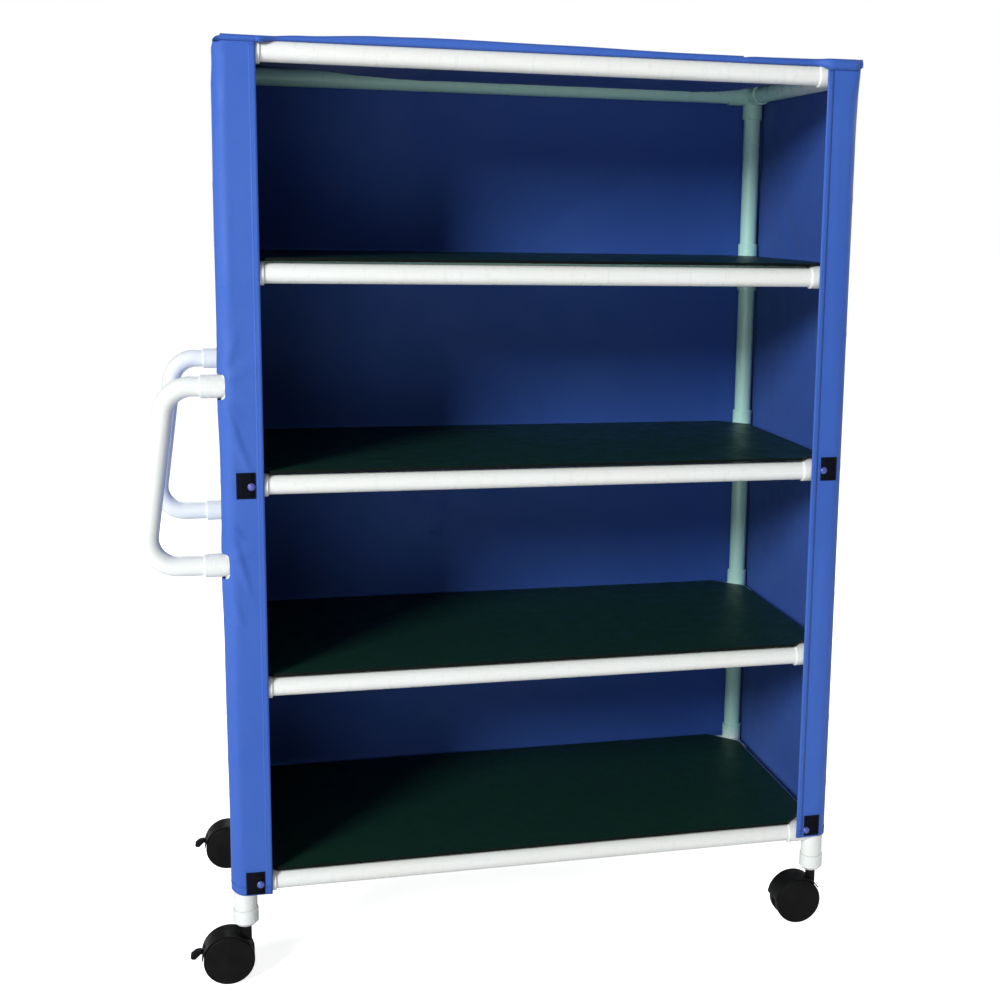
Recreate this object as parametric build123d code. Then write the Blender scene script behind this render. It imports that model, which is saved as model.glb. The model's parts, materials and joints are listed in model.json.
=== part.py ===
from build123d import *
import math
import os

# Linen trolley: a push-together plastic tube frame on four swivel casters, with four shelf
# panels, two D-shaped push handles on the left end and a fabric cover with a front curtain.
# Axes: +X to the right of the open front, +Y from the front to the back, +Z up.
# The origin is on the floor, at the centre of the whole trolley's plan box.

# --- driving dimensions, millimetres ---
LEG_SPACING_X = 1312.0        # between leg axes along the open front
LEG_SPACING_Y = 586.0         # between leg axes from front to back
FIRST_LEVEL = 222.0           # floor to the lowest rail axis
LEVEL_PITCH = 435.0           # between rail levels
LEVEL_COUNT = 5               # four shelves and the top frame

TUBE_OD = 42.2
TUBE_WALL = 3.6
FITTING_OD = 50.0
RAIL_SOCKET_REACH = 66.0      # leg axis to the mouth of a rail socket
LEG_SOCKET_REACH = 60.0       # rail axis to the mouth of a leg socket
SOCKET_DEPTH = 34.0
FITTING_CENTRE_BULGE = 0.6    # the ball in a fitting's middle stands this far beyond its arms
SLIP = 0.1                    # radial clearance of a tube in its socket
MOUTH_CHAMFER = 1.5

SHELF_THICKNESS = 6.0
SHELF_CORNER_CUT = 66.0
SHELF_FRONT_EDGE = 17.0       # panel edge beyond the front leg axes
SHELF_REAR_EDGE = 4.0
SHELF_SIDE_INSET = 3.0

HANDLE_LOW_Z = 925.0          # axis of the lower arm
HANDLE_HIGH_Z = 1298.0
HANDLE_LOW_REACH = 184.0      # leg axis to the lower corner of the grip line
HANDLE_HIGH_REACH = 134.0
HANDLE_BEND = 60.0

CAP_OD = 54.0
CAP_HEIGHT = 36.0
CAP_FLOOR = 6.0
CAP_CHAMFER = 7.0

WHEEL_RADIUS = 54.0
WHEEL_TRAIL = 37.0            # leg axis to the wheel axle
WHEEL_INNER_FACE = 8.5        # from the caster's middle plane
WHEEL_OUTER_FACE = 31.0
WHEEL_EDGE_ROUND = 4.0
WHEEL_DOME = 3.0               # outer face, middle to rim
HUB_CLOSED_END = 4.5
AXLE_RADIUS = 5.0
RUNNING_FIT = 0.05
HOOD_GAP = 1.8                # hood to tread
HOOD_WALL = 2.4
HOOD_HALF_WIDTH = 29.0
HOOD_START = 34.0             # degrees above +X about the axle
HOOD_END = 174.0
HOOD_WEDGE_STEPS = 7
WEB_HALF_WIDTH = 7.6
WEB_RADIUS = 50.0             # the web stays inside the wheels where the hood ends
BOSS_RADIUS = 14.0
HORN_RADIUS = 11.5
HORN_TOP = 121.5
HORN_FLOOR = 8.0              # horn below the stem
STEM_RADIUS = 5.0
STEM_BOTTOM = 76.0
STEM_FLANGE_RADIUS = 10.0
STEM_FLANGE_GAP = 0.4
STEM_TOP = 178.0
SLEEVE_HEAD = 4.0             # stem sleeve above the stem's top

# the brake lever, in the caster's middle plane: X from the leg axis, and height
LEVER_PIVOT = (-66.0, 68.0)
LEVER_ARM = [(-60, 63), (-60, 73), (-95, 76), (-103, 70), (-98, 64), (-88, 64)]
LEVER_TAB = [(-96.5, 75), (-95.5, 67.5), (-108, 55.5), (-115, 56), (-118, 60), (-117, 66), (-107, 73.5)]
LEVER_EYE = (-107.5, 64.5)
LEVER_EYE_RADIUS = 3.0
LEVER_HALF_WIDTH = 3.0
LEVER_TAB_HALF_WIDTH = 7.5
LEVER_HUB_RADIUS = 6.5
LEVER_PIN_RADIUS = 2.0
LEVER_SLOT_CLEARANCE = 0.6    # each side of the arm, in the hood
LEVER_MOUTH_CLEARANCE = 1.0   # each side of the tab
LEVER_SLOT_HEADROOM = 15.0    # hood slot above the pivot
LEVER_MOUTH_DEPTH = 6.0       # into the hood's inner face

COVER_OFFSET = 26.0           # leg axis to the cover's inner face
COVER_THICKNESS = 2.0
COVER_HEM_Z = 200.0
STRIP_INNER_EDGE = 57.0       # leg axis to the front strip's free edge
COLLAR_HOLE_RADIUS = 27.0
COLLAR_NOTCH = 13.0           # leg axis to the inner end of the notch in the strip
SAG_DEPTH = 46.0
SAG_BORDER = 28.0             # flat border inside the leg axes
SAG_SLOPE_X = 210.0
SAG_SLOPE_Y = 150.0
CURTAIN_GAP = 0.3
CURTAIN_LEFT_EDGE = 64.0      # inside the left leg axis
CURTAIN_RIGHT_EDGE = 20.0     # outside the right leg axis
CURTAIN_HEM_Z = 840.0
CURTAIN_FOLD_HEIGHT = 14.0
CURTAIN_FOLD_DEPTH = 22.0

PATCH_WIDTH = 40.0
PATCH_HEIGHT = 54.0
PATCH_THICKNESS = 1.2
SNAP_RADIUS = 8.5
SNAP_HEIGHT = 3.0
CURTAIN_CAP_RADIUS = 7.0
CURTAIN_CAP_INSET = 22.0      # from the curtain's side edges
CURTAIN_CAP_RISE = 60.0       # from the hem to the lower cap

# --- derived sizes ---
TUBE_RADIUS = TUBE_OD / 2
TUBE_BORE = TUBE_RADIUS - TUBE_WALL
FITTING_RADIUS = FITTING_OD / 2
SOCKET_BORE = TUBE_RADIUS + SLIP
LEVELS = [FIRST_LEVEL + LEVEL_PITCH * i for i in range(LEVEL_COUNT)]
TOP_Z = LEVELS[-1]
COVER_OUTER = COVER_OFFSET + COVER_THICKNESS
GRIP_LEAN = math.atan2(HANDLE_LOW_REACH - HANDLE_HIGH_REACH, HANDLE_HIGH_Z - HANDLE_LOW_Z)
# outermost point of the lower handle bend, from the leg axis
LOW_BEND_CENTRE = HANDLE_LOW_REACH - HANDLE_BEND * (1 + math.sin(GRIP_LEAN)) / math.cos(GRIP_LEAN)
HANDLE_OUTER = LOW_BEND_CENTRE + HANDLE_BEND + TUBE_RADIUS
# the frame stands off centre, because the handles are on one end only
FRAME_SHIFT = (HANDLE_OUTER - COVER_OUTER) / 2
LEFT_X = FRAME_SHIFT - LEG_SPACING_X / 2
RIGHT_X = FRAME_SHIFT + LEG_SPACING_X / 2
FRONT_Y = -LEG_SPACING_Y / 2
REAR_Y = LEG_SPACING_Y / 2
LEGS = {
    "front_left": (LEFT_X, FRONT_Y),
    "front_right": (RIGHT_X, FRONT_Y),
    "rear_left": (LEFT_X, REAR_Y),
    "rear_right": (RIGHT_X, REAR_Y),
}
CAP_TOP = FIRST_LEVEL - LEG_SOCKET_REACH
CAP_BOTTOM = CAP_TOP - CAP_HEIGHT
HOOD_INNER = WHEEL_RADIUS + HOOD_GAP
HOOD_OUTER = HOOD_INNER + HOOD_WALL
SAG_FLAT_Z = TOP_Z + COVER_OFFSET
CURTAIN_THICKNESS = COVER_THICKNESS
CURTAIN_LIFT = COVER_THICKNESS + CURTAIN_GAP
# the snap caps behind stand as far from the frame as the snap studs in front
FRONT_OVERHANG = COVER_OUTER + PATCH_THICKNESS + SNAP_HEIGHT
CURTAIN_CAP_HEIGHT = FRONT_OVERHANG - COVER_OUTER - CURTAIN_GAP - CURTAIN_THICKNESS

os.makedirs("parts", exist_ok=True)


def save(name, *solids):
    """Write one node: one solid, or a group of separate solids."""
    shape = solids[0] if len(solids) == 1 else Compound(children=list(solids))
    export_step(shape, f"parts/{name}.step")


def rod(start, end, radius):
    """Solid cylinder between two points."""
    start, end = Vector(*start), Vector(*end)
    way = end - start
    return Plane(origin=start, z_dir=way) * Cylinder(
        radius, way.length, align=(Align.CENTER, Align.CENTER, Align.MIN))


def tube(start, end):
    """Frame tube between two points."""
    start, end = Vector(*start), Vector(*end)
    reach = (end - start).normalized()
    return rod(start, end, TUBE_RADIUS) - rod(start - reach, end + reach, TUBE_BORE)


def box(low, high):
    """Box from its lowest to its highest corner."""
    size = [high[i] - low[i] for i in range(3)]
    return Pos(*low) * Box(*size, align=(Align.MIN, Align.MIN, Align.MIN))


def fitting(centre, sockets):
    """Moulded fitting: a round body with one socket for each (direction, reach)."""
    centre = Vector(*centre)
    body = Pos(*centre) * Sphere(FITTING_RADIUS + FITTING_CENTRE_BULGE)
    for direction, reach in sockets:
        way = Vector(*direction)
        arm = rod(centre, centre + way * reach, FITTING_RADIUS)
        mouth = arm.faces().sort_by(Axis(centre, way))[-1]
        body += chamfer(mouth.edges(), MOUTH_CHAMFER)
    for direction, reach in sockets:
        way = Vector(*direction)
        body -= rod(centre, centre + way * (reach + 1), TUBE_BORE)
        body -= rod(centre + way * (reach - SOCKET_DEPTH), centre + way * (reach + 1), SOCKET_BORE)
    return body


# --- frame: fittings, leg tubes and rails ---
UP, DOWN = (0, 0, 1), (0, 0, -1)
RAIL_STOP = RAIL_SOCKET_REACH - SOCKET_DEPTH
LEG_STOP = LEG_SOCKET_REACH - SOCKET_DEPTH


def leg_fittings(x, y):
    """The five fittings of one leg, from the lowest shelf to the top corner."""
    inward_x = (math.copysign(1, FRAME_SHIFT - x), 0, 0)
    inward_y = (0, math.copysign(1, -y), 0)
    rails = [(inward_x, RAIL_SOCKET_REACH), (inward_y, RAIL_SOCKET_REACH)]
    pieces = []
    for level in LEVELS:
        sockets = rails + [(DOWN, LEG_SOCKET_REACH)]
        if level != TOP_Z:
            sockets = sockets + [(UP, LEG_SOCKET_REACH)]
        pieces.append(fitting((x, y, level), sockets))
    return pieces


def leg_tubes(x, y):
    """Tube lengths of one leg, between the fittings, with the nipple down into the leg cap."""
    stations = sorted(LEVELS + ([HANDLE_LOW_Z, HANDLE_HIGH_Z] if x == LEFT_X else []))
    pieces = [tube((x, y, CAP_BOTTOM + CAP_FLOOR), (x, y, FIRST_LEVEL - LEG_STOP))]
    for low, high in zip(stations, stations[1:]):
        pieces.append(tube((x, y, low + LEG_STOP), (x, y, high - LEG_STOP)))
    return pieces


for leg, (x, y) in LEGS.items():
    save(f"leg_fittings_{leg}", *leg_fittings(x, y))
    save(f"leg_tubes_{leg}", *leg_tubes(x, y))

for number, level in enumerate(LEVELS, start=1):
    name = "top" if level == TOP_Z else f"shelf_{number}"
    save(f"{name}_long_rails", *[
        tube((LEFT_X + RAIL_STOP, y, level), (RIGHT_X - RAIL_STOP, y, level)) for y in (FRONT_Y, REAR_Y)])
    save(f"{name}_side_rails", *[
        tube((x, FRONT_Y + RAIL_STOP, level), (x, REAR_Y - RAIL_STOP, level)) for x in (LEFT_X, RIGHT_X)])

# --- push handles, plugged into tees on the left legs ---
for side, y in (("front", FRONT_Y), ("rear", REAR_Y)):
    save(f"handle_tees_{side}", *[
        fitting((LEFT_X, y, z), [
            (UP, LEG_SOCKET_REACH), (DOWN, LEG_SOCKET_REACH), ((-1, 0, 0), RAIL_SOCKET_REACH)])
        for z in (HANDLE_LOW_Z, HANDLE_HIGH_Z)])
    path = FilletPolyline(
        (LEFT_X - RAIL_STOP, y, HANDLE_LOW_Z),
        (LEFT_X - HANDLE_LOW_REACH, y, HANDLE_LOW_Z),
        (LEFT_X - HANDLE_HIGH_REACH, y, HANDLE_HIGH_Z),
        (LEFT_X - RAIL_STOP, y, HANDLE_HIGH_Z),
        radius=HANDLE_BEND)
    section = Plane(origin=path @ 0, z_dir=path % 0) * (Circle(TUBE_RADIUS) - Circle(TUBE_BORE))
    save(f"push_handle_{side}", sweep(section, path=path))

# --- shelf panels, lying on the fittings and cut at the corners round the legs ---
SHELF_LOW = (LEFT_X + SHELF_SIDE_INSET, FRONT_Y - SHELF_FRONT_EDGE)
SHELF_HIGH = (RIGHT_X - SHELF_SIDE_INSET, REAR_Y + SHELF_REAR_EDGE)
for number, level in enumerate(LEVELS[:-1], start=1):
    base = level + FITTING_RADIUS
    panel = box((*SHELF_LOW, base), (*SHELF_HIGH, base + SHELF_THICKNESS))
    panel = chamfer(panel.edges().filter_by(Axis.Z), SHELF_CORNER_CUT)
    save(f"shelf_panel_{number}", panel)


# --- leg ends: caps, stem sleeves and caster stems ---
def leg_cap(x, y):
    """Cup under a leg, with a hole for the caster stem."""
    cup = rod((x, y, CAP_BOTTOM), (x, y, CAP_TOP), CAP_OD / 2)
    cup = chamfer(cup.faces().sort_by(Axis.Z)[0].edges(), CAP_CHAMFER)
    cup -= rod((x, y, CAP_BOTTOM + CAP_FLOOR), (x, y, CAP_TOP + 1), SOCKET_BORE)
    return cup - rod((x, y, CAP_BOTTOM - 1), (x, y, CAP_TOP), STEM_RADIUS + SLIP)


def stem_sleeve(x, y):
    """Insert inside the leg's lowest tube, which grips the stem."""
    low, high = CAP_BOTTOM + CAP_FLOOR, STEM_TOP + SLEEVE_HEAD
    sleeve = rod((x, y, low), (x, y, high), TUBE_BORE - SLIP)
    return sleeve - rod((x, y, low - 1), (x, y, high + 1), STEM_RADIUS + SLIP)


def caster_stem(x, y):
    """Steel stem with a flange between the leg cap and the caster's horn."""
    stem = rod((x, y, STEM_BOTTOM), (x, y, STEM_TOP), STEM_RADIUS)
    return stem + rod((x, y, HORN_TOP + STEM_FLANGE_GAP), (x, y, CAP_BOTTOM), STEM_FLANGE_RADIUS)


save("leg_caps", *[leg_cap(x, y) for x, y in LEGS.values()])
save("stem_sleeves", *[stem_sleeve(x, y) for x, y in LEGS.values()])
save("caster_stems", *[caster_stem(x, y) for x, y in LEGS.values()])


# --- casters: all trail towards -X ---
def across(x, z, radius, y, low, high):
    """Cylinder along Y through (x, z), from low to high of the caster's middle plane."""
    return rod((x, y + low, z), (x, y + high, z), radius)


def caster_hood(x, y, braked):
    """Hood, middle web and horn of one caster, in one moulding."""
    axle_x, axle_z = x - WHEEL_TRAIL, WHEEL_RADIUS
    shell = across(axle_x, axle_z, HOOD_OUTER, y, -HOOD_HALF_WIDTH, HOOD_HALF_WIDTH)
    shell -= across(axle_x, axle_z, HOOD_INNER, y, -HOOD_HALF_WIDTH - 1, HOOD_HALF_WIDTH + 1)
    rim = across(axle_x, axle_z, HOOD_OUTER, y, -WEB_HALF_WIDTH, WEB_HALF_WIDTH)
    web = across(axle_x, axle_z, WEB_RADIUS, y, -WEB_HALF_WIDTH, WEB_HALF_WIDTH)
    reach = 3 * HOOD_OUTER
    corners = [(0, 0)]
    for i in range(HOOD_WEDGE_STEPS + 1):
        angle = math.radians(HOOD_START + (HOOD_END - HOOD_START) * i / HOOD_WEDGE_STEPS)
        corners.append((reach * math.cos(angle), reach * math.sin(angle)))
    wedge_plane = Plane(origin=(axle_x, y, axle_z), x_dir=(1, 0, 0), z_dir=(0, -1, 0))
    wedge = extrude(wedge_plane * make_face(Polyline(*corners, close=True)), HOOD_OUTER, both=True)
    upper_half = box((axle_x - reach, y - reach, axle_z), (axle_x + reach, y + reach, axle_z + reach))
    horn = rod((x, y, STEM_BOTTOM - HORN_FLOOR), (x, y, HORN_TOP), HORN_RADIUS)
    horn -= across(axle_x, axle_z, HOOD_INNER, y, WEB_HALF_WIDTH, reach)
    horn -= across(axle_x, axle_z, HOOD_INNER, y, -reach, -WEB_HALF_WIDTH)
    hood = (shell & wedge) + (rim & wedge) + (web & upper_half) + horn
    hood += across(axle_x, axle_z, BOSS_RADIUS, y, -WEB_HALF_WIDTH, WEB_HALF_WIDTH)
    hood -= across(axle_x, axle_z, AXLE_RADIUS, y, -reach, reach)
    hood -= rod((x, y, STEM_BOTTOM - 1), (x, y, HORN_TOP + 1), STEM_RADIUS + RUNNING_FIT)
    if braked:
        pivot_x, pivot_z = x + LEVER_PIVOT[0], LEVER_PIVOT[1]
        for half_width, end_x in (
                (LEVER_HALF_WIDTH + LEVER_SLOT_CLEARANCE, axle_x - BOSS_RADIUS - 2),
                (LEVER_TAB_HALF_WIDTH + LEVER_MOUTH_CLEARANCE, axle_x - HOOD_INNER + LEVER_MOUTH_DEPTH)):
            hood -= box((axle_x - reach, y - half_width, axle_z - 1),
                        (end_x, y + half_width, pivot_z + LEVER_SLOT_HEADROOM))
        hood -= across(pivot_x, pivot_z, LEVER_PIN_RADIUS, y, -reach, reach)
    return hood


def caster_wheel(x, y, side):
    """One wheel of the twin pair; side is -1 for the front wheel and 1 for the rear one."""
    axle_x, axle_z = x - WHEEL_TRAIL, WHEEL_RADIUS
    inner, outer = side * WHEEL_INNER_FACE, side * WHEEL_OUTER_FACE
    rim, halfway = outer - side * WHEEL_DOME, outer - side * WHEEL_DOME / 4
    outline = [
        Polyline((0, outer), (0, inner), (WHEEL_RADIUS, inner), (WHEEL_RADIUS, rim)),
        ThreePointArc((WHEEL_RADIUS, rim), (WHEEL_RADIUS / 2, halfway), (0, outer)),
    ]
    axle_line = Axis((axle_x, y, axle_z), (0, 1, 0))
    wheel = revolve(Pos(axle_x, y, axle_z) * make_face(outline), axis=axle_line)
    circles = wheel.edges().filter_by(GeomType.CIRCLE)
    wheel = fillet([edge for edge in circles if abs(edge.radius - WHEEL_RADIUS) < 0.01], WHEEL_EDGE_ROUND)
    bore = sorted((side * (WHEEL_INNER_FACE - 1), side * (WHEEL_OUTER_FACE - HUB_CLOSED_END)))
    return wheel - across(axle_x, axle_z, AXLE_RADIUS + RUNNING_FIT, y, *bore)


def brake_lever(x, y):
    """Foot lever, turning on a pin across the middle web; its tab stands out behind the wheels."""
    middle = Plane(origin=(x, y, 0), x_dir=(1, 0, 0), z_dir=(0, -1, 0))
    pivot_x, pivot_z = x + LEVER_PIVOT[0], LEVER_PIVOT[1]
    lever = across(pivot_x, pivot_z, LEVER_HUB_RADIUS, y, -LEVER_HALF_WIDTH, LEVER_HALF_WIDTH)
    for outline, half_width in ((LEVER_ARM, LEVER_HALF_WIDTH), (LEVER_TAB, LEVER_TAB_HALF_WIDTH)):
        lever += extrude(middle * make_face(Polyline(*outline, close=True)), half_width, both=True)
    half = LEVER_TAB_HALF_WIDTH + 1
    lever -= across(pivot_x, pivot_z, LEVER_PIN_RADIUS + RUNNING_FIT, y, -half, half)
    return lever - across(x + LEVER_EYE[0], LEVER_EYE[1], LEVER_EYE_RADIUS, y, -half, half)


for leg, (x, y) in LEGS.items():
    braked = x == LEFT_X
    save(f"caster_hood_{leg}", caster_hood(x, y, braked))
    axle_end = WHEEL_OUTER_FACE - HUB_CLOSED_END - 0.5
    save(f"caster_axle_{leg}", across(x - WHEEL_TRAIL, WHEEL_RADIUS, AXLE_RADIUS, y, -axle_end, axle_end))
    save(f"wheel_{leg}_a", caster_wheel(x, y, -1))
    save(f"wheel_{leg}_b", caster_wheel(x, y, 1))
    if braked:
        save(f"brake_lever_{leg}", brake_lever(x, y))
        save(f"lever_pin_{leg}", across(
            x + LEVER_PIVOT[0], LEVER_PIVOT[1], LEVER_PIN_RADIUS, y, -WEB_HALF_WIDTH, WEB_HALF_WIDTH))

# --- fabric cover: sides, back, front strips and top ---
COVER_LEFT, COVER_RIGHT = LEFT_X - COVER_OUTER, RIGHT_X + COVER_OUTER
COVER_FRONT, COVER_BACK = FRONT_Y - COVER_OUTER, REAR_Y + COVER_OUTER
SIDE_FRONT, SIDE_BACK = FRONT_Y - COVER_OFFSET, REAR_Y + COVER_OFFSET

left_panel = box((COVER_LEFT, SIDE_FRONT, COVER_HEM_Z), (LEFT_X - COVER_OFFSET, SIDE_BACK, SAG_FLAT_Z))
left_strip = box(
    (COVER_LEFT, COVER_FRONT, COVER_HEM_Z), (LEFT_X + STRIP_INNER_EDGE, SIDE_FRONT, SAG_FLAT_Z))
back_panel = box((COVER_LEFT, SIDE_BACK, COVER_HEM_Z), (COVER_RIGHT, COVER_BACK, SAG_FLAT_Z))
for z in (HANDLE_LOW_Z, HANDLE_HIGH_Z):
    for y in (FRONT_Y, REAR_Y):
        left_panel -= rod((COVER_LEFT - 1, y, z), (LEFT_X, y, z), COLLAR_HOLE_RADIUS)
    notch_low = (COVER_LEFT - 1, COVER_FRONT - 1, z - COLLAR_HOLE_RADIUS)
    notch_high = (LEFT_X - COLLAR_NOTCH, COVER_BACK + 1, z + COLLAR_HOLE_RADIUS)
    notch = box(notch_low, notch_high)
    left_strip -= notch
    back_panel -= notch
save("cover_left", left_panel)
save("cover_right", box(
    (RIGHT_X + COVER_OFFSET, SIDE_FRONT, COVER_HEM_Z), (COVER_RIGHT, SIDE_BACK, SAG_FLAT_Z)))
save("cover_strip_left", left_strip)
save("cover_strip_right", box(
    (RIGHT_X - STRIP_INNER_EDGE, COVER_FRONT, COVER_HEM_Z), (COVER_RIGHT, SIDE_FRONT, SAG_FLAT_Z)))
save("cover_back", back_panel)


def sagging_sheet(lift):
    """Top sheet: flat over the rails, sagging like a shallow pan between them."""
    low_z = SAG_FLAT_Z + lift
    centre = Pos(FRAME_SHIFT, 0, 0)
    size_x, size_y = COVER_RIGHT - COVER_LEFT, COVER_BACK - COVER_FRONT
    rim_x, rim_y = LEG_SPACING_X - 2 * SAG_BORDER, LEG_SPACING_Y - 2 * SAG_BORDER
    floor_x, floor_y = rim_x - 2 * SAG_SLOPE_X, rim_y - 2 * SAG_SLOPE_Y

    def pan(z):
        rim = centre * Pos(0, 0, z) * Rectangle(rim_x, rim_y)
        floor = centre * Pos(0, 0, z - SAG_DEPTH) * Rectangle(floor_x, floor_y)
        return loft([rim, floor], ruled=True)

    sheet = centre * Pos(0, 0, low_z) * Box(
        size_x, size_y, COVER_THICKNESS, align=(Align.CENTER, Align.CENTER, Align.MIN))
    lower = pan(low_z)
    upper = pan(low_z + COVER_THICKNESS)
    return (sheet + lower) - upper


save("cover_top", sagging_sheet(0))

# --- front curtain, thrown back over the top and hanging down behind ---
curtain_left, curtain_right = LEFT_X + CURTAIN_LEFT_EDGE, RIGHT_X + CURTAIN_RIGHT_EDGE
curtain_base = SAG_FLAT_Z + CURTAIN_LIFT
curtain_top = curtain_base + CURTAIN_THICKNESS
curtain_back_inner = COVER_BACK + CURTAIN_GAP
curtain_back_outer = curtain_back_inner + CURTAIN_THICKNESS
over_top = sagging_sheet(CURTAIN_LIFT) & box(
    (curtain_left, COVER_FRONT, TOP_Z - 2 * SAG_DEPTH), (curtain_right, COVER_BACK, curtain_top))
fold = box((curtain_left, COVER_FRONT, curtain_base),
           (curtain_right, COVER_FRONT + CURTAIN_FOLD_DEPTH, curtain_base + CURTAIN_FOLD_HEIGHT))
fold = fillet(fold.edges().filter_by(Axis.X).sort_by(Axis.Z)[-2:], CURTAIN_FOLD_HEIGHT * 0.4)
save("curtain_over_top", over_top + fold)
save("curtain_hanging_back", box(
    (curtain_left, COVER_BACK, CURTAIN_HEM_Z), (curtain_right, curtain_back_outer, curtain_top))
    - box((curtain_left, COVER_BACK, CURTAIN_HEM_Z), (curtain_right, curtain_back_inner, curtain_base)))

# --- closing patches and snaps on the front strips: leg X, level, patch centre and snap offsets ---
FASTENINGS = [
    (LEFT_X, LEVELS[2], (26, 12), (37, 10)),
    (LEFT_X, LEVELS[0], (18, 6), (31, 2)),
    (RIGHT_X, LEVELS[2], (-17, 13), (-29, 12)),
    (RIGHT_X, LEVELS[0], (-17, 10), (-29, 2)),
]


def snap_dome(centre, radius, height, outward):
    """Round snap with a softened rim, standing out along outward."""
    centre = Vector(*centre)
    dome = rod(centre, centre + Vector(*outward) * height, radius)
    rim = dome.faces().sort_by(Axis(centre, Vector(*outward)))[-1].edges()
    return fillet(rim, height * 0.8)


patches = []
studs = []
patch_front = COVER_FRONT - PATCH_THICKNESS
for leg_x, level, (patch_dx, patch_dz), (snap_dx, snap_dz) in FASTENINGS:
    patch_x, patch_z = leg_x + patch_dx, level + patch_dz
    patches.append(box(
        (patch_x - PATCH_WIDTH / 2, patch_front, patch_z - PATCH_HEIGHT / 2),
        (patch_x + PATCH_WIDTH / 2, COVER_FRONT, patch_z + PATCH_HEIGHT / 2)))
    snap_base = (leg_x + snap_dx, patch_front, level + snap_dz)
    studs.append(snap_dome(snap_base, SNAP_RADIUS, SNAP_HEIGHT, (0, -1, 0)))
save("strip_patches", *patches)
save("snap_studs", *studs)

# matching snap caps near the curtain's side edges, on the side that shows from behind
lower_cap_z = CURTAIN_HEM_Z + CURTAIN_CAP_RISE
save("curtain_snap_caps", *[
    snap_dome((x, curtain_back_outer, z), CURTAIN_CAP_RADIUS, CURTAIN_CAP_HEIGHT, (0, 1, 0))
    for x in (curtain_left + CURTAIN_CAP_INSET, curtain_right - CURTAIN_CAP_INSET)
    for z in (lower_cap_z, lower_cap_z + 2 * LEVEL_PITCH)])
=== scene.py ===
import json
import math

import bpy
import numpy as np
from mathutils import Matrix, Vector, geometry, noise


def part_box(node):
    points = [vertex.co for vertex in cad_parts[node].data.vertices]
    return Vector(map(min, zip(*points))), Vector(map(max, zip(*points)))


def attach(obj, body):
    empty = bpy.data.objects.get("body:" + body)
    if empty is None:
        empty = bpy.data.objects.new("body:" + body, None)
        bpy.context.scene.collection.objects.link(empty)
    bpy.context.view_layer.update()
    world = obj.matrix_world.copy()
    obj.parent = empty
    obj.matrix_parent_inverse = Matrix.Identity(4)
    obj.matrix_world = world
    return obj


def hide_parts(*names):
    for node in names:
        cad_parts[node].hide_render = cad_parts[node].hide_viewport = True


# The look of the linen trolley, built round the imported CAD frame. Lengths are metres.
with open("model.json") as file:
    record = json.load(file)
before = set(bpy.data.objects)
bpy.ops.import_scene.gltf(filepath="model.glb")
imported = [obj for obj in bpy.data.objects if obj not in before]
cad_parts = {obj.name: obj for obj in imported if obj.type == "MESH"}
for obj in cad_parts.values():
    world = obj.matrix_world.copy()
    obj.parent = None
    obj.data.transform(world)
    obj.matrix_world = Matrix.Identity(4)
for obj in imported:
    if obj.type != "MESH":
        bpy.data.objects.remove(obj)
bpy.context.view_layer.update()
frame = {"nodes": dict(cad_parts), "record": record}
nodes = frame["nodes"]


# --- places read from the frame ---
def middle(node):
    """Centre of a CAD node's box."""
    low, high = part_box(node)
    return (low + high) / 2


LEFT_X = middle("leg_tubes_front_left").x
RIGHT_X = middle("leg_tubes_front_right").x
FRONT_Y = middle("leg_tubes_front_left").y
REAR_Y = middle("leg_tubes_rear_left").y
TOP_Z = middle("top_long_rails").z
RAIL_LOW, RAIL_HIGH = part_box("top_long_rails")
TUBE_RADIUS = (RAIL_HIGH.z - RAIL_LOW.z) / 2
HEM_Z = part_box("cover_left")[0].z
TEE_LOW, TEE_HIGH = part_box("handle_tees_front")
TEE_REACH = 0.060             # end of a handle tee to the middle of its outlet
HANDLE_HEIGHTS = (TEE_LOW.z + TEE_REACH, TEE_HIGH.z - TEE_REACH)
STRIP_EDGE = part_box("cover_strip_left")[1].x - LEFT_X
STRIP_RIGHT_EDGE = STRIP_EDGE - 0.0055    # the right strip is a little narrower
CURTAIN_LOW, CURTAIN_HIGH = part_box("curtain_hanging_back")
CAPS_LOW, CAPS_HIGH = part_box("curtain_snap_caps")

# --- the cover's own sizes ---
WALL_OFFSET = 0.0274          # leg axis to the cover's outer face
CLOTH = 0.0012                # cloth thickness
HEM_WIDTH = 0.014             # hem along a strip's free edge
BOTTOM_HEM = HEM_WIDTH * 1.4  # hem at the foot of the walls
HEM_LIFT = 0.0008             # how far a hem's second layer stands out
PATTERN_GRID = 0.013          # mesh step of the cloth
STRIP_GRID = PATTERN_GRID * 0.42    # finer, to hold the strips' creases
WALL_TOP = TOP_Z + 0.022
CORNER_ARC = WALL_OFFSET * math.pi / 2
SAG = 0.055                   # how deep the top hangs between the rails
NOTCH_STEPS = 24              # points round a notch for a handle collar
COLLAR_RADIUS = 0.0268        # holes in the cover for the handle collars
FITTING_RADIUS = 0.0264       # round fittings under the top corners, with cloth on them
BELLY_HEIGHT = 1.76           # height of the wide panels that can belly out


def smooth(value, low, high):
    """0 below low, 1 above high, with a soft step between."""
    share = min(1.0, max(0.0, (value - low) / (high - low)))
    return share * share * (3 - 2 * share)


def bump(value, centre, width):
    """A soft hill of height 1 about centre."""
    return math.exp(-((value - centre) / width) ** 2)


def wander(seed, *place):
    """Slow seeded noise between about -1 and 1."""
    spot = Vector((place[0], place[1] if len(place) > 1 else 0.0, seed * 7.31))
    return noise.noise(spot)


def through(value, stations):
    """Smooth line through (value, height) stations."""
    for (a, low), (b, high) in zip(stations, stations[1:]):
        if value <= b:
            return low + (high - low) * smooth(value, a, b)
    return stations[-1][1]


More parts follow.
